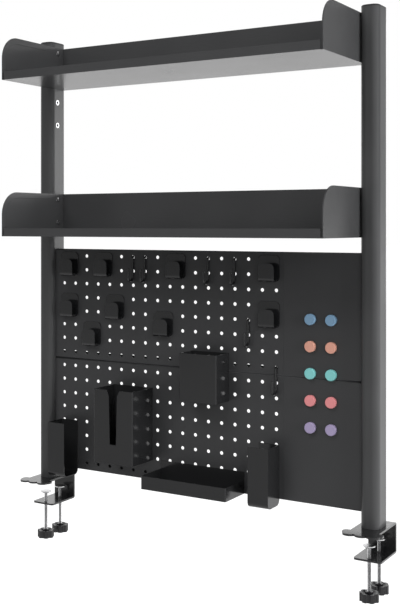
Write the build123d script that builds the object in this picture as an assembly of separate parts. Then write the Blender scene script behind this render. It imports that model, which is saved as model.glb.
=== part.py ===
from build123d import *
import math
import os

# A desk-edge organizer: two posts on screw clamps carry two folded trays and a two-piece
# perforated back board, with hooks, holders and magnets on the board.
# Millimetres. X runs along the desk edge, -Y faces the user, Z is up.
# The origin is midway between the posts, in line with the tray bolts, on the desk's top surface.

# ---- frame ----
BAY = 590.0             # clear width between the posts' inner faces
POST_W = 30.0
POST_D = 46.0
POST_Y = 5.0            # the posts' centre behind the line of the tray bolts
POST_H = 800.0
POST_ROUND = 11.0       # radius of the flat-oval tube's corners
POST_WALL = 1.5
CAP_H = 3.0
CAP_EASE = 2.4          # rounding of the cap's top edge
PLUG_H = 14.0
INSERT_H = 22.0
PLUG_FIT = 0.15         # gap between a plug and the tube's bore

# ---- clamps ----
CLAMP_W = 45.0
CLAMP_T = 3.0
CLAMP_H = 48.0          # outside height of the C
CLAMP_REAR = 45.0       # from the bolt line back to the leg's outer face
CLAMP_REACH = 60.0      # from the bolt line forward to the tip of the foot
CLAMP_BEND = 4.0        # outer radius of the C's two bends
CLAMP_CORNER = 5.0      # rounding of the lower jaw's front corners
FOOT_W = 64.0           # widest part of the foot, behind its lobes
FOOT_BODY_SET = 17.0    # from the lobes' tips back to the body's middle
FOOT_BODY_L = 17.0
FOOT_BODY_R = 7.0
LOBE_R = 10.5
LOBE_STEP = 19.0
LOBE_COUNT = 3
JAW_L = 70.0            # depth of the lower jaw
DESK_PAD_T = 1.5
DESK_PAD_INSET = 3.0
DESK_PAD_FRONT = 10.0   # behind the lobes' tips
SCREW_R = 3.0
SCREW_FIT = 0.05
SCREW_GAP = 44.0        # between the two screws of a clamp
SCREW_EDGE = 10.0       # from the jaw's front edge to the first screw
SCREW_TIP = 2.5         # how deep the tip sits in its pad
SCREW_LEN = 84.0
PAD_TOP_Z = -20.5       # where the pads stand below the desk face
PAD_R = 9.5
PAD_T = 3.5
PAD_CONE_H = 1.9        # the pad's underside narrows over this height
PAD_CONE_W = 3.3
KNOB_R = 15.0
KNOB_H = 13.0
KNOB_LOBES = 7
KNOB_NOTCH_R = 4.2
KNOB_NOTCH_OUT = 1.9    # notch centres beyond the rim
KNOB_HUB_R = 6.0
KNOB_HUB_RISE = 1.5     # hub above the rim
KNOB_DISH_R = 11.7
KNOB_DISH_FOOT_R = 7.0
KNOB_DISH_DEPTH = 3.0

# ---- back board ----
SHEET = 1.2
PITCH = 25.0
HOLE_R = 3.0
HOLE_SIDES = 8          # flats of a peg hole; four gauge holes of a panel are fully round
COLS = 18
PANEL_ROWS = 8
UPPER_GAUGE = ((2, 15), (1, 7))     # columns and rows of the upper panel's round holes
LOWER_GAUGE = ((0, 17), (8, 15))
PANEL_H = 200.0
BOARD_LIFT = 21.5       # board's lower edge above the posts' feet
FIRST_COL = 20.0        # from the board's left edge to the first column
FLANGE = 15.0
UPPER_LIP = 12.0
LOWER_LIP = 20.0
SETBACK = 13.0          # board face behind the posts' fronts
PANEL_SCREW_INSET = 32.0

# ---- trays ----
TRAY_SILLS = (450.0, 720.0)     # heights of the trays' undersides above the desk
SPARE_SILL = 630.0              # a third, unused height
TRAY_FRONT = 160.0              # from the bolt line to the tray's front
TRAY_REAR = 17.5                # from the bolt line to the tray's rear
TRAY_WALL = 77.0
TRAY_LIP = 14.0
TRAY_CORNER = 40.0
HEM_W = 10.0
HEM_T = 0.8
HEM_END = 30.0          # where the hems stop, ahead of the bolt line
RELIEF_R = 1.6
TRAY_BOLTS = (24.0, 66.0)       # bolt heights above a tray's underside

# ---- fasteners ----
BOLT_R = 2.5
BOLT_HEAD_R = 4.75
BOLT_HEAD_H = 2.2
BOLT_LEN = 8.0
NUT_R = 3.5
NUT_FLANGE_R = 5.0
NUT_FLANGE_T = 0.8
NUT_LEN = 9.0
FOOT_BOLT_GAP = 18.0
FOOT_BOLT_LEN = 16.0
OVERCUT = 2.0           # how far a cutting tool runs past what it cuts

# ---- things that hang on the board ----
PEG_R = 2.7
PEG_LEN = 6.0
TAB_W = 4.6
TAB_T = 1.5
TAB_RISE = 8.0
HOOK_W = 38.0
HOOK_H = 43.0
HOOK_T = 1.5
HOOK_ABOVE = 7.0        # plate above its upper pair of holes
HOOK_TONGUE_W = 28.0
HOOK_TONGUE_H = 30.0
HOOK_REACH = 12.0
HOOK_BEND = 5.0
HOOK_CORNER = 8.0       # rounding of the plate's and the tongue's corners
WIRE_R = 2.0
WIRE_REACH = 14.0
WIRE_BEND = 2.1
WIRE_CURL = 5.6         # bend radius of the J
WIRE_TIP_H = 22.0
WIRE_BELOW = 8.0        # wire's lowest centre line above its lower row of holes
BIN_T = 1.2
BIN_BEND = 2.4
SLOT_BIN = (80.0, 65.0, 126.0)
SLOT_BIN_SILL = 60.5
SLOT_BIN_COL = 6
SLOT_BIN_PEGS = ((5, 7), 10)    # columns and row
SLOT_W = 17.0
SLOT_LOW_W = 13.0
SLOT_SILL = 33.0        # slot's lower end above the bin's floor
SLOT_FLARE = 5.0
SLOT_FLARE_H = 10.0
SQUARE_BIN = (70.0, 45.0, 80.0)
SQUARE_BIN_SILL = 176.5
SQUARE_BIN_COL = 12
SQUARE_BIN_SHIFT = 4.0  # bin's centre to the right of its middle column
SQUARE_BIN_PEGS = ((11, 13), 7)
DISH = (160.0, 67.0, 22.0)
DISH_SILL = 26.5
DISH_BACK = 36.0
DISH_PEGS = ((9, 14), 15)
BRACKET_W = 36.0
BRACKET_D = 43.0
BRACKET_H = 97.0
BRACKET_SILL = 17.0
BRACKET_BEND = 9.0
BRACKET_ROW = 13
MAGNET_R = 9.0
MAGNET_T = 6.0
MAGNET_EASE = 1.2
MAGNET_COUNT = 5
MAGNET_X = (210.0, 245.0)
MAGNET_MID_Z = 233.5
MAGNET_STEP = 43.0

WIDE_HOOKS = ((0, 0), (3, 0), (9, 0), (16, 0), (0, 3), (4, 3), (16, 3), (8, 4), (2, 5))
WIRE_HOOKS = ((6, 0), (7, 0), (12, 0), (14, 0), (15, 4), (17, 7))

# ---- derived places ----
POST_FOOT_Z = DESK_PAD_T + CLAMP_T
POST_X = BAY / 2 + POST_W / 2
BOARD_Y = POST_Y - POST_D / 2 + SETBACK
BOARD_Z = POST_FOOT_Z + BOARD_LIFT
BOARD_TOP_Z = BOARD_Z + 2 * PANEL_H
ROW_MARGIN = (PANEL_H - (PANEL_ROWS - 1) * PITCH) / 2
JAW_BOTTOM_Z = POST_FOOT_Z - CLAMP_H
JAW_FRONT_Y = CLAMP_REAR - JAW_L
SCREW_YS = {"front": JAW_FRONT_Y + SCREW_EDGE, "rear": JAW_FRONT_Y + SCREW_EDGE + SCREW_GAP}
SIDES = {"left": -1, "right": 1}


def col_x(col):
    return -BAY / 2 + FIRST_COL + col * PITCH


def row_z(row):
    return BOARD_TOP_Z - ROW_MARGIN - row * PITCH


def block(x0, x1, y0, y1, z0, z1):
    return Pos((x0 + x1) / 2, (y0 + y1) / 2, (z0 + z1) / 2) * Box(x1 - x0, y1 - y0, z1 - z0)


def rod(radius, length, x, y, z, direction):
    place = Plane(origin=(x, y, z), z_dir=direction)
    return place * Cylinder(radius, length, align=(Align.CENTER, Align.CENTER, Align.MIN))


def oval(inset=0.0):
    return RectangleRounded(POST_W - 2 * inset, POST_D - 2 * inset, POST_ROUND - inset)


def strip(points, radius, thickness, half_width, centre_x):
    """A band of sheet whose centre line in YZ is points, with round bends, extruded along X."""
    path = FilletPolyline(*[(y, z) for y, z in points], radius=radius)
    band = trace(path, thickness)
    return Pos(centre_x, 0, 0) * extrude(Plane.YZ * band, half_width, both=True)


def write(solid, name):
    solid.label = name
    export_step(solid, os.path.join("parts", name + ".step"))


# ---- posts ----
def bolt_heights():
    return [sill + lift for sill in (*TRAY_SILLS, SPARE_SILL) for lift in TRAY_BOLTS]


def panel_bolt_heights():
    return [BOARD_Z + panel * PANEL_H + edge
            for panel in (0, 1) for edge in (PANEL_SCREW_INSET, PANEL_H - PANEL_SCREW_INSET)]


PANEL_BOLT_Y = BOARD_Y + FLANGE / 2 + SHEET / 2


def make_post(side):
    tube = extrude(oval() - oval(POST_WALL), POST_H)
    tube = Pos(side * POST_X, POST_Y, POST_FOOT_Z) * tube
    inward = (-side, 0, 0)
    start_x = side * POST_X
    for z in bolt_heights():
        radius = NUT_R if SPARE_SILL < z < SPARE_SILL + TRAY_WALL else BOLT_R
        tube -= rod(radius, POST_W, start_x, 0, z, inward)
    for z in panel_bolt_heights():
        tube -= rod(BOLT_R, POST_W, start_x, PANEL_BOLT_Y, z, inward)
    return tube


def make_cap(side):
    top = POST_FOOT_Z + POST_H
    lid = extrude(oval(), CAP_H)
    lid = fillet(lid.faces().sort_by(Axis.Z)[-1].edges(), min(CAP_EASE, CAP_H - PLUG_FIT))
    plug = Pos(0, 0, -PLUG_H) * extrude(oval(POST_WALL + PLUG_FIT), PLUG_H)
    return Pos(side * POST_X, POST_Y, top) * (lid + plug)


def foot_bolt_ys():
    return (POST_Y - FOOT_BOLT_GAP / 2, POST_Y + FOOT_BOLT_GAP / 2)


def make_insert(side):
    core = Pos(side * POST_X, POST_Y, POST_FOOT_Z) * extrude(oval(POST_WALL + PLUG_FIT), INSERT_H)
    for y in foot_bolt_ys():
        core -= rod(BOLT_R, FOOT_BOLT_LEN, side * POST_X, y, POST_FOOT_Z, (0, 0, 1))
    return core


# ---- back board ----
def make_panel(bottom_z, lip, gauge):
    """A folded panel: perforated face, returns on all four sides and a lip behind the lowest row."""
    top_z = bottom_z + PANEL_H
    half = BAY / 2
    back_y = BOARD_Y + FLANGE
    face = Rectangle(BAY, PANEL_H)
    holes = list(GridLocations(PITCH, PITCH, COLS, PANEL_ROWS))
    grid_x = (col_x(0) + col_x(COLS - 1)) / 2
    middle_z = (bottom_z + top_z) / 2
    round_spots = [(col_x(col) - grid_x, row_z(row) - middle_z)
                   for col in gauge[0] for row in gauge[1]]
    punch = RegularPolygon(HOLE_R, HOLE_SIDES, major_radius=False, rotation=180 / HOLE_SIDES)
    rims = []
    for place in holes:
        spot = place.position
        is_round = any(math.dist((spot.X, spot.Y), at) < HOLE_R for at in round_spots)
        hole = Pos(grid_x, 0) * place * (Circle(HOLE_R) if is_round else punch)
        rims.append(hole.wire())
    face = Face(face.face().outer_wire(), rims)
    front = Plane(origin=(0, BOARD_Y, middle_z), x_dir=(1, 0, 0), z_dir=(0, -1, 0))
    sheet = extrude(front * face, amount=-SHEET)
    inner = half - SHEET
    sheet += block(-half, half, BOARD_Y, back_y, top_z - SHEET, top_z)
    sheet += block(-half, half, BOARD_Y, back_y, bottom_z, bottom_z + SHEET)
    for side in SIDES.values():
        x_pair = sorted((side * inner, side * half))
        sheet += block(*x_pair, BOARD_Y, back_y, bottom_z, top_z)
    sheet += block(-inner, inner, back_y - SHEET, back_y, bottom_z, bottom_z + lip)
    for side in SIDES.values():
        for edge in (PANEL_SCREW_INSET, PANEL_H - PANEL_SCREW_INSET):
            sheet -= rod(BOLT_R, 4 * SHEET, side * (half - 2 * SHEET), PANEL_BOLT_Y,
                         bottom_z + edge, (side, 0, 0))
    return sheet


# ---- trays ----
def make_shelf(sill):
    """One blank folded up on four sides, with open corner reliefs at the front."""
    half = BAY / 2
    front_y = -TRAY_FRONT
    rear_y = TRAY_REAR
    top_z = sill + TRAY_WALL
    cheek_wire = Polyline((front_y, sill), (rear_y, sill), (rear_y, top_z), (front_y, top_z),
                          (front_y, sill))
    cheek = make_face(cheek_wire)
    cheek = fillet(cheek.vertices().group_by(Axis.Y)[-1].sort_by(Axis.X)[0], TRAY_CORNER)
    core = offset(cheek, -HEM_W)
    rear_cut = Pos(rear_y, sill) * Rectangle(2 * (rear_y + HEM_END), 3 * TRAY_WALL)
    low_cut = Pos(front_y, sill) * Rectangle(6 * HEM_W, 2 * (TRAY_LIP + SHEET))
    hem = cheek - core - rear_cut - low_cut
    shelf = block(-half, half, front_y, rear_y, sill, sill + SHEET)
    shelf += block(-half, half, rear_y - SHEET, rear_y, sill, top_z)
    lip_half = half - SHEET - 2 * RELIEF_R
    shelf += block(-lip_half, lip_half, front_y, front_y + SHEET, sill, sill + TRAY_LIP)
    for side in SIDES.values():
        outer = Pos(side * half, 0, 0) * extrude(Plane.YZ * cheek, -side * SHEET)
        inner_x = side * (half - SHEET)
        folded = Pos(inner_x, 0, 0) * extrude(Plane.YZ * hem, -side * HEM_T)
        shelf += outer + folded
        notch_x = sorted((inner_x, inner_x - side * 2 * RELIEF_R))
        shelf -= block(*notch_x, front_y - SHEET, front_y + 2 * RELIEF_R,
                       sill - SHEET, sill + 2 * SHEET)
        for lift in TRAY_BOLTS:
            shelf -= rod(BOLT_R, 4 * SHEET, side * (half - 2 * SHEET), 0, sill + lift,
                         (side, 0, 0))
    return shelf


# ---- clamps ----
def foot_outline():
    """The upper jaw seen from above: a straight strap with soft lobes at the front."""
    body_y = FOOT_BODY_SET - CLAMP_REACH
    strap_len = CLAMP_REAR - body_y
    outline = Pos(0, body_y + strap_len / 2) * Rectangle(CLAMP_W, strap_len)
    outline += Pos(0, body_y) * RectangleRounded(FOOT_W, FOOT_BODY_L, FOOT_BODY_R)
    for k in range(LOBE_COUNT):
        lobe_x = (k - (LOBE_COUNT - 1) / 2) * LOBE_STEP
        outline += Pos(lobe_x, LOBE_R - CLAMP_REACH) * Circle(LOBE_R)
    return outline


def make_bracket(side):
    x = side * POST_X
    top = Pos(x, 0, DESK_PAD_T) * extrude(foot_outline(), CLAMP_T)
    spine = block(x - CLAMP_W / 2, x + CLAMP_W / 2, CLAMP_REAR - CLAMP_T, CLAMP_REAR,
                  JAW_BOTTOM_Z, POST_FOOT_Z)
    jaw = block(x - CLAMP_W / 2, x + CLAMP_W / 2, JAW_FRONT_Y, CLAMP_REAR,
                JAW_BOTTOM_Z, JAW_BOTTOM_Z + CLAMP_T)
    bracket = top + spine + jaw
    rear_edges = bracket.edges().filter_by(Axis.X).group_by(Axis.Y)[-1]
    bracket = fillet(rear_edges, CLAMP_BEND)
    front_corners = jaw.edges().filter_by(Axis.Z).group_by(Axis.Y)[0]
    tips = [e for e in bracket.edges().filter_by(Axis.Z)
            if any((e.center() - c.center()).length < SCREW_FIT for c in front_corners)]
    bracket = fillet(tips, CLAMP_CORNER)
    for y in SCREW_YS.values():
        bracket -= rod(SCREW_R + SCREW_FIT, 3 * CLAMP_T, x, y, JAW_BOTTOM_Z - CLAMP_T, (0, 0, 1))
    for y in foot_bolt_ys():
        bracket -= rod(BOLT_R, 3 * CLAMP_T, x, y, DESK_PAD_T - CLAMP_T, (0, 0, 1))
        bracket -= rod(BOLT_HEAD_R, BOLT_HEAD_H, x, y, DESK_PAD_T, (0, 0, 1))
    return bracket


def make_desk_pad(side):
    reach = CLAMP_REACH - DESK_PAD_FRONT
    depth = reach + CLAMP_REAR - CLAMP_T - DESK_PAD_INSET
    width = CLAMP_W - 2 * DESK_PAD_INSET
    centre_y = (CLAMP_REAR - CLAMP_T - DESK_PAD_INSET - reach) / 2
    pad = extrude(RectangleRounded(width, depth, DESK_PAD_INSET), DESK_PAD_T)
    return Pos(side * POST_X, centre_y, 0) * pad


def make_swivel_pad(x, y):
    disc = Cylinder(PAD_R, PAD_T, align=(Align.CENTER, Align.CENTER, Align.MAX))
    disc = chamfer(disc.edges().sort_by(Axis.Z)[0], PAD_CONE_H, PAD_CONE_W)
    disc -= Pos(0, 0, -PAD_T) * Cylinder(SCREW_R + SCREW_FIT, 2 * SCREW_TIP)
    return Pos(x, y, PAD_TOP_Z) * disc


SCREW_TOP_Z = PAD_TOP_Z - PAD_T + SCREW_TIP


def make_clamp_screw(x, y):
    return rod(SCREW_R, SCREW_LEN, x, y, SCREW_TOP_Z, (0, 0, -1))


def make_knob(x, y):
    """A moulded star grip: scalloped rim, dished top and a raised hub round the screw."""
    star = Circle(KNOB_R)
    notch = KNOB_R + KNOB_NOTCH_OUT
    for k in range(KNOB_LOBES):
        angle = math.radians((k + 0.5) * 360 / KNOB_LOBES)
        star -= Pos(notch * math.cos(angle), notch * math.sin(angle)) * Circle(KNOB_NOTCH_R)
    knob = extrude(star, KNOB_H)
    dish = Pos(0, 0, KNOB_H - KNOB_DISH_DEPTH) * Cone(
        KNOB_DISH_FOOT_R, KNOB_DISH_R, KNOB_DISH_DEPTH, align=(Align.CENTER, Align.CENTER, Align.MIN))
    hub = Cylinder(KNOB_HUB_R, KNOB_H + KNOB_HUB_RISE,
                   align=(Align.CENTER, Align.CENTER, Align.MIN))
    knob = knob - dish + hub
    knob -= Cylinder(SCREW_R, 4 * KNOB_H)
    bottom = SCREW_TOP_Z - SCREW_LEN
    return Pos(x, y, bottom) * knob


# ---- fasteners, each kind one group of separate solids ----
def cap_bolt(x, y, z, direction, length):
    """A button-head bolt: the shank runs along direction and the head sits behind the start."""
    back = tuple(-d for d in direction)
    head = rod(BOLT_HEAD_R, BOLT_HEAD_H, x, y, z, back)
    return head + rod(BOLT_R, length, x, y, z, direction)


def tray_bolts():
    inner_x = BAY / 2 - SHEET
    return [cap_bolt(side * inner_x, 0, sill + lift, (side, 0, 0), BOLT_LEN)
            for side in SIDES.values() for sill in TRAY_SILLS for lift in TRAY_BOLTS]


def panel_bolts():
    inner_x = BAY / 2 - SHEET
    return [cap_bolt(side * inner_x, PANEL_BOLT_Y, z, (side, 0, 0), BOLT_LEN)
            for side in SIDES.values() for z in panel_bolt_heights()]


def foot_bolts():
    head_z = DESK_PAD_T + BOLT_HEAD_H
    return [cap_bolt(side * POST_X, y, head_z, (0, 0, 1), FOOT_BOLT_LEN - BOLT_HEAD_H)
            for side in SIDES.values() for y in foot_bolt_ys()]


def rivet_nuts():
    nuts = []
    for side in SIDES.values():
        for lift in TRAY_BOLTS:
            z = SPARE_SILL + lift
            face_x = side * BAY / 2
            nut = rod(NUT_R, NUT_LEN, face_x, 0, z, (side, 0, 0))
            nut += rod(NUT_FLANGE_R, NUT_FLANGE_T, face_x, 0, z, (-side, 0, 0))
            nut -= rod(BOLT_R, NUT_LEN + 2 * OVERCUT, face_x - side * OVERCUT, 0, z, (side, 0, 0))
            nuts.append(nut)
    return nuts


# ---- hooks ----
def make_wide_hook(col, row):
    """A bent plate hook: two tabs through the board, a wide back and a narrower front tongue."""
    x = col_x(col) + PITCH / 2
    tab_z = row_z(row)
    top = tab_z + HOOK_ABOVE
    low = top - HOOK_H
    face = Plane(origin=(x, BOARD_Y, (top + low) / 2), x_dir=(1, 0, 0), z_dir=(0, -1, 0))
    back = extrude(face * RectangleRounded(HOOK_W, HOOK_H, HOOK_CORNER), HOOK_T)
    mid = BOARD_Y - HOOK_T / 2
    front = mid - HOOK_REACH
    tip = low + HOOK_TONGUE_H
    run = [(mid, low + HOOK_BEND * 2), (mid, low + HOOK_T / 2), (front, low + HOOK_T / 2),
           (front, tip)]
    tongue = strip(run, HOOK_BEND, HOOK_T, HOOK_TONGUE_W / 2, x)
    corners = tongue.edges().filter_by(Axis.Y).group_by(Axis.Z)[-1]
    tongue = fillet(corners, HOOK_CORNER)
    hook = back + tongue
    rear = BOARD_Y + SHEET
    for k in (0, 1):
        tab_x = col_x(col + k)
        hook += block(tab_x - TAB_W / 2, tab_x + TAB_W / 2, BOARD_Y, rear + TAB_T,
                      tab_z - TAB_T / 2, tab_z + TAB_T / 2)
        hook += block(tab_x - TAB_W / 2, tab_x + TAB_W / 2, rear, rear + TAB_T,
                      tab_z - TAB_T / 2, tab_z + TAB_RISE)
    return hook


def make_wire_hook(col, row):
    """Bent wire: through the upper hole and up behind, down two rows in front, and a J."""
    x = col_x(col)
    stem = BOARD_Y - WIRE_R
    behind = BOARD_Y + SHEET + WIRE_R
    top = row_z(row)
    low = row_z(row + 2) + WIRE_BELOW
    nose = stem - WIRE_REACH
    path = FilletPolyline((x, behind, top + TAB_RISE), (x, behind, top), (x, stem, top),
                          (x, stem, low), (x, nose, low), (x, nose, low + WIRE_TIP_H),
                          radius=[WIRE_BEND, WIRE_BEND, WIRE_CURL, WIRE_CURL])
    section = Plane(origin=path @ 0, z_dir=path % 0) * Circle(WIRE_R)
    return sweep(section, path=path)


# ---- holders ----
def add_pegs(solid, cols, row):
    for col in cols:
        solid += rod(PEG_R, PEG_LEN, col_x(col), BOARD_Y, row_z(row), (0, 1, 0))
    return solid


def open_bin(size, centre_x, sill):
    width, depth, height = size
    rear = BOARD_Y
    front = rear - depth
    shell = block(centre_x - width / 2, centre_x + width / 2, front, rear, sill, sill + height)
    shell = fillet(shell.edges().filter_by(Axis.Z).group_by(Axis.Y)[0], BIN_BEND)
    inside = block(centre_x - width / 2 + BIN_T, centre_x + width / 2 - BIN_T,
                   front + BIN_T, rear - BIN_T, sill + BIN_T, sill + 2 * height)
    inside = fillet(inside.edges().filter_by(Axis.Z).group_by(Axis.Y)[0], BIN_BEND - BIN_T)
    return shell - inside


def make_slot_bin():
    width, depth, height = SLOT_BIN
    x = col_x(SLOT_BIN_COL)
    top = SLOT_BIN_SILL + height
    shell = open_bin(SLOT_BIN, x, SLOT_BIN_SILL)
    half = SLOT_W / 2
    low_half = SLOT_LOW_W / 2
    mouth = half + SLOT_FLARE
    throat_z = top - SLOT_FLARE_H
    low_z = SLOT_BIN_SILL + SLOT_SILL
    flare = make_face(Polyline(
        (-mouth, top + OVERCUT), (mouth, top + OVERCUT), (mouth, top), (half, throat_z),
        (low_half, low_z), (-low_half, low_z), (-half, throat_z), (-mouth, top),
        (-mouth, top + OVERCUT)))
    front = Plane(origin=(x, BOARD_Y - depth + 2 * BIN_T, 0), x_dir=(1, 0, 0), z_dir=(0, -1, 0))
    shell -= extrude(front * flare, 4 * BIN_T)
    return add_pegs(shell, *SLOT_BIN_PEGS)


def make_square_bin():
    shell = open_bin(SQUARE_BIN, col_x(SQUARE_BIN_COL) + SQUARE_BIN_SHIFT, SQUARE_BIN_SILL)
    return add_pegs(shell, *SQUARE_BIN_PEGS)


def make_dish():
    x = sum(col_x(col) for col in DISH_PEGS[0]) / len(DISH_PEGS[0])
    width, depth, height = DISH
    dish = open_bin(DISH, x, DISH_SILL)
    dish += block(x - width / 2, x + width / 2, BOARD_Y - BIN_T, BOARD_Y,
                  DISH_SILL, DISH_SILL + DISH_BACK)
    return add_pegs(dish, *DISH_PEGS)


def make_side_bracket(side):
    """One of a facing pair: front, floor and back in one bend, with the outer side closed."""
    first = 0 if side < 0 else COLS - 2
    x = col_x(first) + PITCH / 2
    back = BOARD_Y - BIN_T / 2
    front = BOARD_Y - BRACKET_D + BIN_T / 2
    low = BRACKET_SILL + BIN_T / 2
    top = BRACKET_SILL + BRACKET_H
    run = [(back, top), (back, low), (front, low), (front, top)]
    band = strip(run, BRACKET_BEND, BIN_T, BRACKET_W / 2, x)
    profile = FilletPolyline(*run, radius=BRACKET_BEND)
    side_face = make_face(Wire([*profile.edges(), Edge.make_line((front, top), (back, top))]))
    wall_x = x + side * BRACKET_W / 2
    wall = Pos(wall_x, 0, 0) * extrude(Plane.YZ * side_face, -side * BIN_T)
    return add_pegs(band + wall, (first, first + 1), BRACKET_ROW)


def make_magnet(x, z):
    front = Plane(origin=(x, BOARD_Y, z), x_dir=(1, 0, 0), z_dir=(0, -1, 0))
    disc = extrude(front * Circle(MAGNET_R), MAGNET_T)
    return fillet(disc.edges().sort_by(Axis.Y)[0], MAGNET_EASE)


def build_all():
    for name, side in SIDES.items():
        x = side * POST_X
        write(make_post(side), "post_" + name)
        write(make_cap(side), "post_cap_" + name)
        write(make_insert(side), "foot_insert_" + name)
        write(make_bracket(side), "clamp_bracket_" + name)
        write(make_desk_pad(side), "desk_pad_" + name)
        for end, y in SCREW_YS.items():
            write(make_clamp_screw(x, y), f"clamp_screw_{name}_{end}")
            write(make_swivel_pad(x, y), f"swivel_pad_{name}_{end}")
            write(make_knob(x, y), f"clamp_knob_{name}_{end}")
        write(make_side_bracket(side), "side_holder_" + name)
    write(make_panel(BOARD_Z + PANEL_H, UPPER_LIP, UPPER_GAUGE), "board_upper")
    write(make_panel(BOARD_Z, LOWER_LIP, LOWER_GAUGE), "board_lower")
    for name, sill in zip(("lower", "upper"), TRAY_SILLS):
        write(make_shelf(sill), "shelf_" + name)
    write(Compound(children=tray_bolts()), "shelf_bolts")
    write(Compound(children=panel_bolts()), "board_bolts")
    write(Compound(children=foot_bolts()), "foot_bolts")
    write(Compound(children=rivet_nuts()), "rivet_nuts")
    for k, (col, row) in enumerate(WIDE_HOOKS, 1):
        write(make_wide_hook(col, row), f"plate_hook_{k}")
    for k, (col, row) in enumerate(WIRE_HOOKS, 1):
        write(make_wire_hook(col, row), f"wire_hook_{k}")
    write(make_slot_bin(), "slotted_bin")
    write(make_square_bin(), "square_bin")
    write(make_dish(), "shallow_dish")
    for column, x in enumerate(MAGNET_X):
        for k in range(MAGNET_COUNT):
            z = MAGNET_MID_Z + ((MAGNET_COUNT - 1) / 2 - k) * MAGNET_STEP
            write(make_magnet(x, z), f"magnet_{'ab'[column]}{k + 1}")


os.makedirs("parts", exist_ok=True)
build_all()
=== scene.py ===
# %% [markdown]
# This is a desk-edge organizer of black coated steel. Two posts stand on desk clamps and carry two
# trays and a punched board, on which hooks, bins and magnets hang. The solids come from the packed
# part and stay where they are. This script gives them their finishes. It also makes the few pieces
# whose looks need more than a plain solid: the punched panels with truly round holes, the threaded
# clamp screws, the bolts with hexagon sockets and the open threaded inserts.

# %% Load the fixed frame
import math

import bmesh
import bpy
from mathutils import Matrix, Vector


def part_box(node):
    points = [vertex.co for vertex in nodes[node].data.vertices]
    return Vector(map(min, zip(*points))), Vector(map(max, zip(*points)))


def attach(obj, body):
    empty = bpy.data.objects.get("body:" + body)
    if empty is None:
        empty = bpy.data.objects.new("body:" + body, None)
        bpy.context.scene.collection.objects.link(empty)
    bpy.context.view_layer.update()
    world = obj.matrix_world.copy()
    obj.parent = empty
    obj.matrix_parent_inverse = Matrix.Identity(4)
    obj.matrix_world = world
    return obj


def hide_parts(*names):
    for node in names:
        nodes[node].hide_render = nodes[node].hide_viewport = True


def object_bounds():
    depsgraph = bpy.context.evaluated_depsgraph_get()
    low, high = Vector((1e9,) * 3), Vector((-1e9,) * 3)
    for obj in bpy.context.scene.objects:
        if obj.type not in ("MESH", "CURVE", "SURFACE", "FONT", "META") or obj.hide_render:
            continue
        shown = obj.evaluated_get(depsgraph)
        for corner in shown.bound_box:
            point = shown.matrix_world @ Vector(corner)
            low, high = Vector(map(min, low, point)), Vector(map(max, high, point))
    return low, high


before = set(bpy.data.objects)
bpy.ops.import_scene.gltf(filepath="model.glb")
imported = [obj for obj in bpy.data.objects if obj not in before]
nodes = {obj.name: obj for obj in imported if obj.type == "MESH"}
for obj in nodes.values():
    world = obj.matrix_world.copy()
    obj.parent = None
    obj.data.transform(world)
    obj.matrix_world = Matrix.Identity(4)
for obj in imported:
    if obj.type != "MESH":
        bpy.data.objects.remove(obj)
cad_box = [list(corner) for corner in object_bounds()]
scene = bpy.context.scene
print("solids in the frame:", len(nodes))

# %% [markdown]
# Materials and Geometry Nodes are both trees of nodes joined by links, so a few short helpers serve
# every tree below. A Math node takes numbers or other nodes' outputs, and one helper tells the two
# apart, which keeps each formula on one line.

# %% Helpers for node trees
def link(tree, source, target):
    tree.links.new(source, target)


def socket(tree, name, kind, default=None, out=False):
    """A named input or output of a node group."""
    made = tree.interface.new_socket(name, in_out="OUTPUT" if out else "INPUT", socket_type=kind)
    if default is not None:
        made.default_value = default


def math_node(tree, operation, *terms):
    """The result of a Math node, whose terms are numbers or other nodes' outputs."""
    made = tree.nodes.new("ShaderNodeMath")
    made.operation = operation
    for term, target in zip(terms, made.inputs):
        if isinstance(term, bpy.types.NodeSocket):
            link(tree, term, target)
        else:
            target.default_value = term
    return made.outputs[0]


def map_range(tree, value, span, result):
    """The result of a Map Range node, from one span of numbers to another."""
    made = tree.nodes.new("ShaderNodeMapRange")
    for name, number in zip(("From Min", "From Max", "To Min", "To Max"), (*span, *result)):
        made.inputs[name].default_value = number
    link(tree, value, made.inputs["Value"])
    return made.outputs[0]


# %% [markdown]
# Every finish on this object is a coating or plating over a plain shape. Sprayed powder and moulded
# plastic have a fine grain, a slow drift of tone from place to place, and edges that the coat has
# softened. Painting each material by hand would repeat all of that, so one small group makes it and
# each material sets its scale. It reads object coordinates, so nothing needs a UV map. A Bevel node
# rounds the edges in the shading only, which leaves the solids as they are.

# %% Shared group: uneven skin
GRAIN_DETAIL = 3.0
DRIFT_SCALE = 9.0
DRIFT_DETAIL = 2.0
BUMP_DISTANCE = 0.0004
EDGE_SAMPLES = 4


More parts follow.
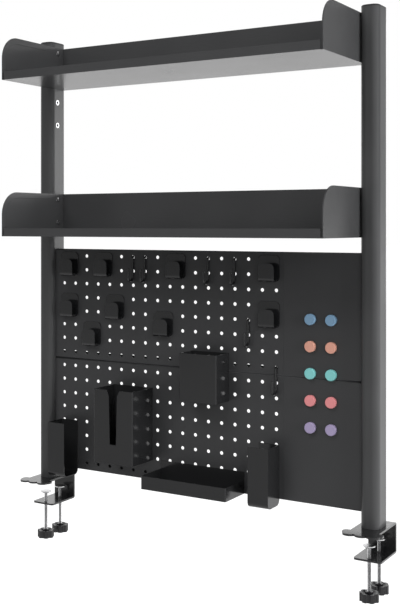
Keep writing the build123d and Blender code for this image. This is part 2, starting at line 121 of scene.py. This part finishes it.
def make_skin_group():
    """Colour, roughness and normal of a coated surface, from a fine and a slow noise."""
    group = bpy.data.node_groups.new("uneven_skin", "ShaderNodeTree")
    socket(group, "Color", "NodeSocketColor", (0.5, 0.5, 0.5, 1))
    socket(group, "Drift", "NodeSocketFloat", 0.15)
    socket(group, "Grain Size", "NodeSocketFloat", 900.0)
    socket(group, "Bump", "NodeSocketFloat", 0.1)
    socket(group, "Roughness", "NodeSocketFloat", 0.4)
    socket(group, "Stretch", "NodeSocketVector", (1, 1, 1))
    socket(group, "Edge Radius", "NodeSocketFloat", 0.0006)
    socket(group, "Color", "NodeSocketColor", out=True)
    socket(group, "Roughness", "NodeSocketFloat", out=True)
    socket(group, "Normal", "NodeSocketVector", out=True)
    node = group.nodes.new
    inp, out = node("NodeGroupInput"), node("NodeGroupOutput")

    place = node("ShaderNodeTexCoord")
    stretch = node("ShaderNodeVectorMath")
    stretch.operation = "MULTIPLY"
    link(group, place.outputs["Object"], stretch.inputs[0])
    link(group, inp.outputs["Stretch"], stretch.inputs[1])
    fine, slow = node("ShaderNodeTexNoise"), node("ShaderNodeTexNoise")
    fine.inputs["Detail"].default_value = GRAIN_DETAIL
    link(group, stretch.outputs[0], fine.inputs["Vector"])
    link(group, inp.outputs["Grain Size"], fine.inputs["Scale"])
    slow.inputs["Scale"].default_value = DRIFT_SCALE
    slow.inputs["Detail"].default_value = DRIFT_DETAIL
    link(group, place.outputs["Object"], slow.inputs["Vector"])

    edge = node("ShaderNodeBevel")
    edge.samples = EDGE_SAMPLES
    link(group, inp.outputs["Edge Radius"], edge.inputs["Radius"])
    bump = node("ShaderNodeBump")
    bump.inputs["Distance"].default_value = BUMP_DISTANCE
    link(group, edge.outputs[0], bump.inputs["Normal"])
    link(group, inp.outputs["Bump"], bump.inputs["Strength"])
    link(group, fine.outputs["Fac"], bump.inputs["Height"])

    centred = math_node(group, "SUBTRACT", slow.outputs["Fac"], 0.5)
    drift = math_node(group, "MULTIPLY_ADD", centred, inp.outputs["Drift"], 1.0)
    tone = node("ShaderNodeVectorMath")
    tone.operation = "SCALE"
    link(group, inp.outputs["Color"], tone.inputs[0])
    link(group, drift, tone.inputs["Scale"])
    link(group, tone.outputs[0], out.inputs["Color"])
    link(group, math_node(group, "MULTIPLY", inp.outputs["Roughness"], drift),
         out.inputs["Roughness"])
    link(group, bump.outputs[0], out.inputs["Normal"])
    return group


skin = make_skin_group()
print("shared groups:", len(bpy.data.node_groups))

# %% [markdown]
# A finish is a Principled shader fed by that group. What is the same all over, such as how metallic
# it is or how strong the clear coat is, is set on the shader itself, so that it survives an export.

# %% How a finish is made
COAT_ROUGHNESS = 0.12


def make_finish(name, colour, rough, metallic=0.0, drift=0.3, grain=900.0, bump=0.12,
                stretch=(1, 1, 1), coat=0.0, edge=0.0006):
    material = bpy.data.materials.new(name)
    material.use_nodes = True
    tree = material.node_tree
    shader = tree.nodes["Principled BSDF"]
    shader.inputs["Metallic"].default_value = metallic
    shader.inputs["Coat Weight"].default_value = coat
    shader.inputs["Coat Roughness"].default_value = COAT_ROUGHNESS
    group = tree.nodes.new("ShaderNodeGroup")
    group.node_tree = skin
    for title, value in (("Color", (*colour, 1)), ("Drift", drift), ("Grain Size", grain),
                         ("Bump", bump), ("Roughness", rough), ("Stretch", stretch),
                         ("Edge Radius", edge)):
        group.inputs[title].default_value = value
    link(tree, group.outputs["Color"], shader.inputs["Base Color"])
    link(tree, group.outputs["Roughness"], shader.inputs["Roughness"])
    link(tree, group.outputs["Normal"], shader.inputs["Normal"])
    return material


# %% [markdown]
# The blacks aren't one black. The posts are a dark grey, the board is matter than the bins, and the
# trays' coat has a fine grain that runs along them, which is the same noise stretched in X. The
# screws and bolts are bright zinc plate, and the magnets wear five soft colours.

# %% Finishes
coat_black = make_finish("black_powder_coat", (0.012, 0.0123, 0.0132), 0.22, grain=1100, bump=0.06,
                         coat=0.5)
coat_board = make_finish("board_powder_coat", (0.038, 0.0384, 0.0400), 0.38, grain=1000, bump=0.10)
coat_bin = make_finish("bin_gloss_coat", (0.016, 0.0162, 0.0170), 0.15, grain=1300, bump=0.03)
coat_tray = make_finish("tray_grained_coat", (0.050, 0.0505, 0.0520), 0.26, grain=700, bump=0.35,
                        stretch=(0.06, 1, 1))
coat_post = make_finish("post_powder_coat", (0.052, 0.0527, 0.054), 0.34, grain=1200, bump=0.06)
zinc = make_finish("bright_zinc", (0.85, 0.85, 0.86), 0.24, metallic=1.0, drift=0.4, grain=500,
                   bump=0.06, edge=0.0003)
grip = make_finish("grip_plastic", (0.012, 0.012, 0.013), 0.2, grain=1600, bump=0.05, edge=0.0009)
plug = make_finish("plug_plastic", (0.02, 0.02, 0.021), 0.45, grain=1500, bump=0.2)
rubber = make_finish("pad_rubber", (0.016, 0.016, 0.016), 0.85, grain=1400, bump=0.4)
MAGNET_TONES = {"blue": (0.20, 0.35, 0.51), "peach": (0.74, 0.36, 0.27),
                "teal": (0.22, 0.60, 0.59), "coral": (0.75, 0.26, 0.27),
                "purple": (0.37, 0.31, 0.49)}
magnet_finish = [make_finish("magnet_" + tone, colour, 0.3, drift=0.10, grain=1200, bump=0.03,
                             coat=0.3)
                 for tone, colour in MAGNET_TONES.items()]
print("finishes:", len(bpy.data.materials))

# %% [markdown]
# The solids keep their shape and only take a finish. Which one follows from what the piece is, and
# the start of its name says that. The first start that fits wins, so a post's cap comes before the
# post. The magnets are numbered from the top, one colour to a row.

# %% Finish the carried-over solids
FINISH_BY_START = (("post_cap", plug), ("post_", coat_post), ("foot_insert", zinc),
                   ("clamp_bracket", coat_black), ("clamp_knob", grip), ("clamp_screw", zinc),
                   ("swivel_pad", zinc), ("desk_pad", rubber), ("board_bolts", zinc),
                   ("board_", coat_board), ("shelf_bolts", zinc), ("shelf_", coat_tray),
                   ("foot_bolts", zinc), ("rivet_nuts", zinc), ("plate_hook", coat_black),
                   ("wire_hook", coat_black), ("side_holder", coat_bin),
                   ("slotted_bin", coat_bin), ("square_bin", coat_bin),
                   ("shallow_dish", coat_bin))


def wear(obj, material):
    obj.data.materials.clear()
    obj.data.materials.append(material)


for name, obj in nodes.items():
    if name.startswith("magnet_"):
        wear(obj, magnet_finish[int(name[-1]) - 1])
    else:
        wear(obj, next(finish for start, finish in FINISH_BY_START if name.startswith(start)))
print("solids finished:", len(nodes))

# %% [markdown]
# The board is two folded panels with a regular field of punched holes. Cutting each hole out of a
# sheet would be slow and would leave long thin faces. A punched hole is one small shape repeated on
# a grid, so one square of sheet with its round hole is made here, and Geometry Nodes repeats it.
# The places come from the frame, so the dressed holes lie where the solid's are.

# %% Sizes of the board
PITCH = 0.025
HOLE_R = 0.003
SHEET = 0.0012
COLS = 18
ROWS = 8
FIRST_COL = 0.020       # from the panel's end to its first column
FOLD_R = 0.0018
FOLD_STEPS = 6
RETURN_DEPTH = 0.015
RIM_STEPS = 24
RIM_EASE = 0.00025      # softening of a hole's front rim
LIPS = {"board_upper": 0.012, "board_lower": 0.020}
MERGE_DISTANCE = 0.00001


# %% Helpers for meshes made of rings
def bridge(mesh, rings):
    """Quads from each ring of vertices to the next."""
    for near, far in zip(rings, rings[1:]):
        for k in range(len(near)):
            j = (k + 1) % len(near)
            mesh.faces.new((near[k], near[j], far[j], far[k]))


def finished_mesh(mesh, name):
    """Turns a finished bmesh into mesh data."""
    data = bpy.data.meshes.new(name)
    mesh.to_mesh(data)
    mesh.free()
    return data


# %% One square of the board with its hole
def cell_mesh():
    """One pitch square with a round hole through it, a softened front rim and a bored wall."""
    mesh = bmesh.new()
    turns = [2 * math.pi * k / RIM_STEPS for k in range(RIM_STEPS)]
    profile = ((HOLE_R + RIM_EASE, 0.0), (HOLE_R, RIM_EASE), (HOLE_R, SHEET))
    rims = [[mesh.verts.new((radius * math.cos(a), depth, radius * math.sin(a))) for a in turns]
            for radius, depth in profile]

    def square_point(angle, depth):
        c, s = math.cos(angle), math.sin(angle)
        reach = PITCH / 2 / max(abs(c), abs(s))
        return mesh.verts.new((reach * c, depth, reach * s))

    front = [square_point(a, 0.0) for a in turns]
    back = [square_point(a, SHEET) for a in turns]
    bridge(mesh, [front, *rims, back])
    return finished_mesh(mesh, "punched_cell")


# %% Node tree that repeats the square
def grid_tree():
    """Copies of one cell on a grid, merged into one sheet."""
    tree = bpy.data.node_groups.new("punched_field", "GeometryNodeTree")
    socket(tree, "Geometry", "NodeSocketGeometry")
    socket(tree, "Columns", "NodeSocketInt", COLS)
    socket(tree, "Rows", "NodeSocketInt", ROWS)
    socket(tree, "Pitch", "NodeSocketFloat", PITCH)
    socket(tree, "Centre", "NodeSocketVector", (0, 0, 0))
    socket(tree, "Finish", "NodeSocketMaterial")
    socket(tree, "Geometry", "NodeSocketGeometry", out=True)
    node = tree.nodes.new
    inp, out = node("NodeGroupInput"), node("NodeGroupOutput")
    grid = node("GeometryNodeMeshGrid")
    link(tree, inp.outputs["Columns"], grid.inputs["Vertices X"])
    link(tree, inp.outputs["Rows"], grid.inputs["Vertices Y"])
    for side, count in (("Size X", "Columns"), ("Size Y", "Rows")):
        gaps = math_node(tree, "SUBTRACT", inp.outputs[count], 1.0)
        link(tree, math_node(tree, "MULTIPLY", gaps, inp.outputs["Pitch"]), grid.inputs[side])
    upright = node("GeometryNodeTransform")
    upright.inputs["Rotation"].default_value = (math.pi / 2, 0, 0)
    link(tree, grid.outputs["Mesh"], upright.inputs["Geometry"])
    link(tree, inp.outputs["Centre"], upright.inputs["Translation"])
    copies = node("GeometryNodeInstanceOnPoints")
    link(tree, upright.outputs[0], copies.inputs["Points"])
    link(tree, inp.outputs["Geometry"], copies.inputs["Instance"])
    real = node("GeometryNodeRealizeInstances")
    link(tree, copies.outputs[0], real.inputs[0])
    merge = node("GeometryNodeMergeByDistance")
    merge.inputs["Distance"].default_value = MERGE_DISTANCE
    link(tree, real.outputs[0], merge.inputs["Geometry"])
    paint = node("GeometryNodeSetMaterial")
    link(tree, merge.outputs[0], paint.inputs["Geometry"])
    link(tree, inp.outputs["Finish"], paint.inputs["Material"])
    link(tree, paint.outputs[0], out.inputs["Geometry"])
    return tree


# %% From a node tree to a plain mesh
def run_tree(seed_mesh, tree, values, name):
    """Evaluates a node tree on a mesh and returns the result as a plain mesh."""
    carrier = bpy.data.objects.new(name + "_carrier", seed_mesh)
    scene.collection.objects.link(carrier)
    modifier = carrier.modifiers.new("nodes", "NODES")
    modifier.node_group = tree
    for item in tree.interface.items_tree:
        if item.in_out == "INPUT" and item.name in values:
            modifier[item.identifier] = values[item.name]
    bpy.context.view_layer.update()
    shaped = carrier.evaluated_get(bpy.context.evaluated_depsgraph_get())
    mesh = bpy.data.meshes.new_from_object(shaped)
    carrier.modifiers.clear()
    bpy.data.objects.remove(carrier)
    mesh.name = name
    return mesh


def new_piece(name, data, body, material, smooth_angle=None):
    """An object from mesh data, in its finish, riding on its body."""
    obj = bpy.data.objects.new(name, data)
    scene.collection.objects.link(obj)
    wear(obj, material)
    if smooth_angle:
        data.shade_smooth()
        data.set_sharp_from_angle(angle=math.radians(smooth_angle))
    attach(obj, body)
    return obj


# %% [markdown]
# Round the punched field lies plain sheet. The panel's top and bottom edges are folded back over a
# small radius, and its ends and its lower lip are turned in too, which is what makes thin sheet
# stiff. The rounded folds catch a line of light, so they are drawn as an arc in YZ, pulled along X.
# The other parts are flat, and plain boxes do.

# %% Flat and folded sheet
def add_box(mesh, low, high):
    corners = [mesh.verts.new((x, y, z)) for x in (low[0], high[0])
               for y in (low[1], high[1]) for z in (low[2], high[2])]
    for quad in ((0, 1, 3, 2), (4, 6, 7, 5), (0, 4, 5, 1), (2, 3, 7, 6), (0, 2, 6, 4),
                 (1, 5, 7, 3)):
        mesh.faces.new([corners[k] for k in quad])


def fold_profile(edge_z, inward, face_y, back_y):
    """Outer and inner lines of a folded edge in YZ, from the face round to the return's rear."""
    outer, inner = [], []
    for k in range(FOLD_STEPS + 1):
        angle = math.pi / 2 * k / FOLD_STEPS
        y = face_y + FOLD_R * (1 - math.cos(angle))
        z = edge_z + inward * FOLD_R * (1 - math.sin(angle))
        outer.append((y, z))
        inner.append((y + SHEET * math.cos(angle), z + inward * SHEET * math.sin(angle)))
    outer.append((back_y, edge_z))
    inner.append((back_y, edge_z + inward * SHEET))
    return outer, inner


def add_fold(mesh, x0, x1, edge_z, inward, face_y, back_y):
    """A folded edge along X, with its two ends closed."""
    outer, inner = fold_profile(edge_z, inward, face_y, back_y)
    loop = outer + inner[::-1]
    ends = [[mesh.verts.new((x, y, z)) for y, z in loop] for x in (x0, x1)]
    for k in range(len(loop)):
        j = (k + 1) % len(loop)
        face = mesh.faces.new((ends[0][k], ends[0][j], ends[1][j], ends[1][k]))
        face.smooth = k < FOLD_STEPS
    for end in ends:
        mesh.faces.new(end)


# %% Build the dressed panels
field_tree = grid_tree()


def make_panel(node):
    low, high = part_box(node)
    face_y, half = low[1], high[0]
    back_y = face_y + RETURN_DEPTH
    left = low[0] + FIRST_COL - PITCH / 2
    right = left + COLS * PITCH
    centre = ((left + right) / 2, face_y, (low[2] + high[2]) / 2)
    data = run_tree(cell_mesh(), field_tree,
                    {"Columns": COLS, "Rows": ROWS, "Pitch": PITCH, "Centre": centre,
                     "Finish": coat_board}, "field_of_" + node)
    mesh = bmesh.new()
    mesh.from_mesh(data)
    z0, z1 = low[2], high[2]
    for vert in mesh.verts:
        vert.co.z = min(max(vert.co.z, z0 + FOLD_R), z1 - FOLD_R)
    for x0, x1 in ((-half, left), (right, half)):
        add_box(mesh, (x0, face_y, z0 + FOLD_R), (x1, face_y + SHEET, z1 - FOLD_R))
    add_fold(mesh, -half, half, z1, -1, face_y, back_y)
    add_fold(mesh, -half, half, z0, 1, face_y, back_y)
    for side in (-1, 1):
        near, far = sorted((side * (half - SHEET), side * half))
        add_box(mesh, (near, face_y + SHEET, z0 + SHEET), (far, back_y, z1 - SHEET))
    add_box(mesh, (-half + SHEET, back_y - SHEET, z0 + SHEET),
            (half - SHEET, back_y, z0 + LIPS[node]))
    bmesh.ops.recalc_face_normals(mesh, faces=mesh.faces)
    mesh.to_mesh(data)
    mesh.free()
    obj = new_piece("punched_" + node, data, "root", coat_board)
    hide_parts(node)
    print(node, "faces:", len(data.polygons))


for panel in ("board_upper", "board_lower"):
    make_panel(panel)

# %% [markdown]
# A clamp screw is a zinc-plated rod with a rolled thread. A thread is a ridge that climbs round the
# rod by its lead at each turn. It could be a bump in the material, but its outline against the
# white shows, so it is in the mesh: a tube whose radius depends on height and angle together. The
# rings are dense enough to draw each ridge, and the ends are closed.

# %% Threaded rods
SCREW_R = 0.003
THREAD_DEPTH = 0.00055
THREAD_LEAD = 0.001
THREAD_STEPS = 10       # rings in one lead
THREAD_AROUND = 20
THREAD_SMOOTH = 50


def threaded_rod(node, body):
    low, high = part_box(node)
    cx, cy = (low[0] + high[0]) / 2, (low[1] + high[1]) / 2
    length = high[2] - low[2]
    count = int(length / THREAD_LEAD * THREAD_STEPS)
    mesh = bmesh.new()
    rings = []
    for i in range(count + 1):
        z = low[2] + length * i / count
        ring = []
        for k in range(THREAD_AROUND):
            turn = k / THREAD_AROUND
            phase = ((z - low[2]) / THREAD_LEAD - turn) % 1.0
            ridge = 1 - abs(2 * phase - 1)
            radius = SCREW_R - THREAD_DEPTH * ridge
            angle = 2 * math.pi * turn
            ring.append(mesh.verts.new((cx + radius * math.cos(angle),
                                        cy + radius * math.sin(angle), z)))
        rings.append(ring)
    bridge(mesh, rings)
    mesh.faces.new(rings[0][::-1])
    mesh.faces.new(rings[-1])
    data = finished_mesh(mesh, "thread_" + node)
    obj = new_piece("thread_" + node, data, body, zinc, smooth_angle=THREAD_SMOOTH)
    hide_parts(node)
    print(node, "rings:", len(rings))


for side in ("left", "right"):
    for end in ("front", "rear"):
        threaded_rod(f"clamp_screw_{side}_{end}", f"spindle_{side}_{end}")

# %% [markdown]
# The tray and board bolts are button heads with a hexagon socket. One bolt is a turned profile, and
# its two innermost rings take the hexagon's shape. Geometry Nodes sets copies of it on the bolts'
# places, each turned so that its head faces the bay between the posts.

# %% One bolt with its socket
HEAD_R = 0.00475
HEAD_H = 0.0022
HEAD_ARC = (0, 18, 36, 54)      # degrees of the crown's rings
HEAD_SKIRT = 0.25               # share of the head's height that is upright
SHANK_R = 0.0025
SOCKET_R = 0.00165
SOCKET_DEPTH = 0.0014
TURNED_STEPS = 24
TURNED_SMOOTH = 35


def turned_points(radius, height):
    return [(radius * math.cos(t), radius * math.sin(t), height)
            for t in (2 * math.pi * k / TURNED_STEPS for k in range(TURNED_STEPS))]


def hexagon_points(radius, height):
    """A ring with as many points as the turned ones, pulled to a hexagon."""
    ring = []
    for k in range(TURNED_STEPS):
        turn = 2 * math.pi * k / TURNED_STEPS
        part = (turn % (math.pi / 3)) - math.pi / 6
        reach = radius * math.cos(math.pi / 6) / math.cos(part)
        ring.append((reach * math.cos(turn), reach * math.sin(turn), height))
    return ring


def bolt_mesh(shank_length):
    """A button-head bolt along +Z: the head's seat at zero, the shank below it."""
    crown = [(HEAD_R * math.cos(a), HEAD_H * (HEAD_SKIRT + (1 - HEAD_SKIRT) * math.sin(a)))
             for a in map(math.radians, HEAD_ARC)]
    profile = [(SHANK_R, -shank_length), (SHANK_R, 0.0), (HEAD_R, 0.0), *crown]
    rings = [turned_points(radius, height) for radius, height in profile]
    rings += [hexagon_points(SOCKET_R, HEAD_H), hexagon_points(SOCKET_R, HEAD_H - SOCKET_DEPTH)]
    mesh = bmesh.new()
    made = [[mesh.verts.new(point) for point in ring] for ring in rings]
    bridge(mesh, made)
    mesh.faces.new(made[-1])
    mesh.faces.new(made[0][::-1])
    bmesh.ops.recalc_face_normals(mesh, faces=mesh.faces)
    return finished_mesh(mesh, "bolt")


# %% Node tree that places copies
def placing_tree():
    """Copies of the carrier's mesh on another's points, turned towards the bay."""
    tree = bpy.data.node_groups.new("placed_copies", "GeometryNodeTree")
    socket(tree, "Geometry", "NodeSocketGeometry")
    socket(tree, "Places", "NodeSocketObject")
    socket(tree, "Finish", "NodeSocketMaterial")
    socket(tree, "Geometry", "NodeSocketGeometry", out=True)
    node = tree.nodes.new
    inp, out = node("NodeGroupInput"), node("NodeGroupOutput")
    info = node("GeometryNodeObjectInfo")
    link(tree, inp.outputs["Places"], info.inputs["Object"])
    place = node("GeometryNodeInputPosition")
    split = node("ShaderNodeSeparateXYZ")
    link(tree, place.outputs[0], split.inputs[0])
    sign = math_node(tree, "SIGN", split.outputs["X"])
    angle = node("ShaderNodeCombineXYZ")
    link(tree, math_node(tree, "MULTIPLY", sign, -math.pi / 2), angle.inputs["Y"])
    copies = node("GeometryNodeInstanceOnPoints")
    link(tree, info.outputs["Geometry"], copies.inputs["Points"])
    link(tree, inp.outputs["Geometry"], copies.inputs["Instance"])
    link(tree, angle.outputs[0], copies.inputs["Rotation"])
    real = node("GeometryNodeRealizeInstances")
    link(tree, copies.outputs[0], real.inputs[0])
    paint = node("GeometryNodeSetMaterial")
    link(tree, real.outputs[0], paint.inputs["Geometry"])
    link(tree, inp.outputs["Finish"], paint.inputs["Material"])
    link(tree, paint.outputs[0], out.inputs["Geometry"])
    return tree


copy_tree = placing_tree()


def copies_at(points, seed_mesh, finish, name):
    """Copies of one mesh on a list of points, as one plain mesh."""
    marks = bpy.data.meshes.new("places_of_" + name)
    marks.from_pydata(points, [], [])
    holder = bpy.data.objects.new("places_of_" + name, marks)
    scene.collection.objects.link(holder)
    data = run_tree(seed_mesh, copy_tree, {"Places": holder, "Finish": finish}, name)
    bpy.data.objects.remove(holder)
    return data


# %% [markdown]
# Where the copies go is read from the solids: one node holds several bolts, and each bolt is a part
# of its mesh that touches no other. Walking along the edges from one vertex finds all of that part.

# %% Find the separate parts of a solid
WELD_DISTANCE = 1e-6


def loose_parts(obj):
    """The lowest and highest corner of each separate part of a mesh."""
    mesh = bmesh.new()
    mesh.from_mesh(obj.data)
    bmesh.ops.remove_doubles(mesh, verts=mesh.verts, dist=WELD_DISTANCE)
    boxes, seen = [], set()
    for start in mesh.verts:
        if start in seen:
            continue
        stack, part = [start], []
        seen.add(start)
        while stack:
            vert = stack.pop()
            part.append(obj.matrix_world @ vert.co)
            for edge in vert.link_edges:
                other = edge.other_vert(vert)
                if other not in seen:
                    seen.add(other)
                    stack.append(other)
        low = Vector([min(v[i] for v in part) for i in range(3)])
        high = Vector([max(v[i] for v in part) for i in range(3)])
        boxes.append((low, high))
    mesh.free()
    return boxes


def bay_point(low, high, outward=0.0):
    """The middle of a box's side towards the bay, moved outwards by a given length."""
    x = low.x if low.x > 0 else high.x
    return x + math.copysign(outward, x), (low.y + high.y) / 2, (low.z + high.z) / 2


# %% Dress the bolts
def dress_bolts(node):
    boxes = loose_parts(nodes[node])
    seats = [bay_point(low, high, HEAD_H) for low, high in boxes]
    shank = boxes[0][1].x - boxes[0][0].x - HEAD_H
    data = copies_at(seats, bolt_mesh(shank), zinc, node + "_set")
    obj = new_piece("socket_" + node, data, "root", zinc, smooth_angle=TURNED_SMOOTH)
    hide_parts(node)
    print(node, "bolts:", len(seats))


for kind in ("shelf_bolts", "board_bolts"):
    dress_bolts(kind)

# %% [markdown]
# The spare threaded inserts show a bright flange round a dark bore. Each is a turned ring with its
# flange towards the bay. A plated bore would shine, because its wall mirrors the light, so a thin
# dark cup lines it as painted shade: a dark sheet that stands for the shade deep in the bore. Ring
# and cup are closed profiles turned round Z.

# %% Threaded inserts
INSERT_FLANGE_R = 0.005
INSERT_FLANGE_T = 0.0008
INSERT_R = 0.0035
INSERT_LEN = 0.009
INSERT_EASE = 0.00025
BORE_R = 0.0025
# The cup is painted shade: a dark liner in place of the shade inside each bore.
CUP_R = 0.00248
CUP_WALL = 0.0002
CUP_DEPTH = 0.007
CUP_CENTRE_R = 0.0001   # a pinhole in the cup's floor keeps its profile a closed loop

INSERT_REAR = -INSERT_LEN - INSERT_FLANGE_T
INSERT_PROFILE = ((BORE_R, INSERT_REAR), (INSERT_R, INSERT_REAR), (INSERT_R, -INSERT_FLANGE_T),
                  (INSERT_FLANGE_R, -INSERT_FLANGE_T), (INSERT_FLANGE_R, -INSERT_EASE),
                  (INSERT_FLANGE_R - INSERT_EASE, 0.0), (BORE_R + INSERT_EASE, 0.0),
                  (BORE_R, -INSERT_EASE))
CUP_PROFILE = ((CUP_R, -CUP_DEPTH), (CUP_R, -INSERT_EASE), (CUP_R - CUP_WALL, -INSERT_EASE),
               (CUP_R - CUP_WALL, CUP_WALL - CUP_DEPTH), (CUP_CENTRE_R, CUP_WALL - CUP_DEPTH),
               (CUP_CENTRE_R, -CUP_DEPTH))


def turned_ring(name, profile):
    """A closed profile of radius and height, turned round Z."""
    mesh = bmesh.new()
    made = [[mesh.verts.new(point) for point in turned_points(radius, height)]
            for radius, height in profile]
    bridge(mesh, made + made[:1])
    bmesh.ops.recalc_face_normals(mesh, faces=mesh.faces)
    return finished_mesh(mesh, name)


def dress_inserts(node):
    mouths = [bay_point(low, high) for low, high in loose_parts(nodes[node])]
    ring = copies_at(mouths, turned_ring("insert", INSERT_PROFILE), zinc, "insert_set")
    # Painted shade: dark cups in the bores stand for the shade inside them.
    shade_cup = copies_at(mouths, turned_ring("shade_cup", CUP_PROFILE), rubber, "bore_set")
    obj = new_piece("open_" + node, ring, "root", zinc, smooth_angle=TURNED_SMOOTH)
    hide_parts(node)
    new_piece("insert_bores", shade_cup, "root", rubber, smooth_angle=TURNED_SMOOTH)
    print("inserts:", len(mouths))


dress_inserts("rivet_nuts")

# %% [markdown]
# The camera stands where the photograph's did, to the right and just higher than the board.
# The verticals stay upright in the picture, so the camera is level, and the picture is shifted
# instead of tilted. The shift is only what the framing needs. Focal length and centre are in pixels
# of the picture, and the longer side of the picture is what the sensor's width stands for.

# %% Camera
IMAGE_W = 400
IMAGE_H = 605
FOCAL_PX = 1064.0
PRINCIPAL = (127.0, 225.9)
YAW = 32.93
CAMERA_AT = (0.884, -1.583, 0.468)
SENSOR = 36.0

camera_data = bpy.data.cameras.new("camera")
camera_data.sensor_width = SENSOR
camera_data.lens = FOCAL_PX * SENSOR / IMAGE_H
camera_data.shift_x = (IMAGE_W / 2 - PRINCIPAL[0]) / IMAGE_H
camera_data.shift_y = (PRINCIPAL[1] - IMAGE_H / 2) / IMAGE_H
camera = bpy.data.objects.new("camera", camera_data)
camera.location = CAMERA_AT
camera.rotation_euler = (math.pi / 2, 0, math.radians(YAW))
scene.collection.objects.link(camera)
scene.camera = camera
print("lens:", round(camera_data.lens, 2), "mm")

# %% [markdown]
# The setting is a white studio. A black coat shows mostly what it mirrors, so the surroundings
# matter more than the lamps. The camera sees plain white. What lights and mirrors on the object is
# white behind it and a soft grey towards the user and to the right, which keeps its fronts and its
# right cheeks dark.

# %% World
WHITE = (1, 1, 1, 1)
AMBIENT_BY_DEPTH = ((-0.5, 0.35), (0.22, 1.0))
AMBIENT_BY_SIDE = ((0.0, 0.35), (1.0, 0.22))


def make_world():
    world = bpy.data.worlds.new("studio")
    scene.world = world
    world.use_nodes = True
    tree = world.node_tree
    tree.nodes.clear()
    node = tree.nodes.new
    out = node("ShaderNodeOutputWorld")
    place = node("ShaderNodeTexCoord")
    split = node("ShaderNodeSeparateXYZ")
    link(tree, place.outputs["Generated"], split.inputs[0])
    by_depth = map_range(tree, split.outputs["Y"], *AMBIENT_BY_DEPTH)
    by_side = map_range(tree, split.outputs["X"], *AMBIENT_BY_SIDE)
    soft, white = node("ShaderNodeBackground"), node("ShaderNodeBackground")
    soft.inputs["Color"].default_value = WHITE
    white.inputs["Color"].default_value = WHITE
    white.inputs["Strength"].default_value = 1.0
    link(tree, math_node(tree, "MULTIPLY", by_depth, by_side), soft.inputs["Strength"])
    rays = node("ShaderNodeLightPath")
    seen = math_node(tree, "MAXIMUM", rays.outputs["Is Camera Ray"],
                     rays.outputs["Is Transmission Ray"])
    mix = node("ShaderNodeMixShader")
    link(tree, seen, mix.inputs[0])
    link(tree, soft.outputs[0], mix.inputs[1])
    link(tree, white.outputs[0], mix.inputs[2])
    link(tree, mix.outputs[0], out.inputs[0])


make_world()
print("world:", scene.world.name)

# %% [markdown]
# The floor is a pale sheet far wider than the view. It lies a little below the grips at rest,
# since the clamp screws come down when they are opened. Its own glow makes it white to the camera.
# To mirrored rays it is bright behind the object and dim in front of it, so that the trays'
# undersides shine and the bins' fronts stay dark. Its base colour is grey and takes the shadow.

# %% Floor
SCREW_REACH = 0.035     # room below the grips' rest place for the screws to come down
FLOOR_Z = cad_box[0][2] - SCREW_REACH
FLOOR_REACH = 30.0
FLOOR_GREY = (0.30, 0.30, 0.30, 1)
FLOOR_GLOW = 0.9
MIRRORED_BY_DEPTH = ((-0.4, 0.4), (0.2, 0.9))


def floor_material():
    material = bpy.data.materials.new("white_floor")
    material.use_nodes = True
    tree = material.node_tree
    shader = tree.nodes["Principled BSDF"]
    shader.inputs["Base Color"].default_value = FLOOR_GREY
    shader.inputs["Roughness"].default_value = 1.0
    shader.inputs["Specular IOR Level"].default_value = 0.0
    rays = tree.nodes.new("ShaderNodeLightPath")
    place = tree.nodes.new("ShaderNodeTexCoord")
    split = tree.nodes.new("ShaderNodeSeparateXYZ")
    link(tree, place.outputs["Object"], split.inputs[0])
    by_depth = map_range(tree, split.outputs["Y"], *MIRRORED_BY_DEPTH)
    mirrored = math_node(tree, "MULTIPLY", rays.outputs["Is Glossy Ray"], by_depth)
    level = math_node(tree, "MULTIPLY_ADD", rays.outputs["Is Camera Ray"], FLOOR_GLOW, mirrored)
    glow = tree.nodes.new("ShaderNodeEmission")
    link(tree, level, glow.inputs["Strength"])
    both = tree.nodes.new("ShaderNodeAddShader")
    link(tree, shader.outputs[0], both.inputs[0])
    link(tree, glow.outputs[0], both.inputs[1])
    link(tree, both.outputs[0], tree.nodes["Material Output"].inputs[0])
    return material


floor_mesh = bpy.data.meshes.new("floor")
floor_mesh.from_pydata([(x * FLOOR_REACH, y * FLOOR_REACH, FLOOR_Z)
                        for x, y in ((-1, -1), (1, -1), (1, 1), (-1, 1))], [], [(0, 1, 2, 3)])
floor_mesh.materials.append(floor_material())
floor = bpy.data.objects.new("floor", floor_mesh)
scene.collection.objects.link(floor)
print("floor at", round(FLOOR_Z, 4), "m")

# %% [markdown]
# Four lamps, each a soft rectangle. A wide one far to the right lights the sides, one in front at
# the right and one above in front fill the board and the trays, and a small one behind, inside the
# bay, gives the left post its pale side and the inserts their bright rings. Only that one shows in
# mirrored views, because the others would draw patches on the gloss.

# %% Lamps
def area_light(name, at, target, size, power, mirrored=True):
    data = bpy.data.lights.new(name, "AREA")
    data.shape = "RECTANGLE"
    data.size, data.size_y = size
    data.energy = power
    light = bpy.data.objects.new(name, data)
    light.location = at
    aim = Vector(target) - Vector(at)
    light.rotation_euler = aim.to_track_quat("-Z", "Y").to_euler()
    light.visible_glossy = mirrored
    light.visible_camera = False
    scene.collection.objects.link(light)
    print("lamp:", name, power, "W")


area_light("side_window", (5.0, -0.4, 1.0), (0, 0, 0.4), (2.4, 3.0), 300, mirrored=False)
area_light("bay_kicker", (0.21, 0.735, 0.62), (-0.31, 0, 0.62), (0.5, 0.6), 2.2)
area_light("front_right", (2.0, -2.2, 1.3), (0, 0, 0.3), (1.4, 1.4), 30, mirrored=False)
area_light("top_front", (-0.5, -2.4, 2.8), (0, 0, 0.5), (2.0, 1.5), 60, mirrored=False)
scene.view_settings.view_transform = "Standard"
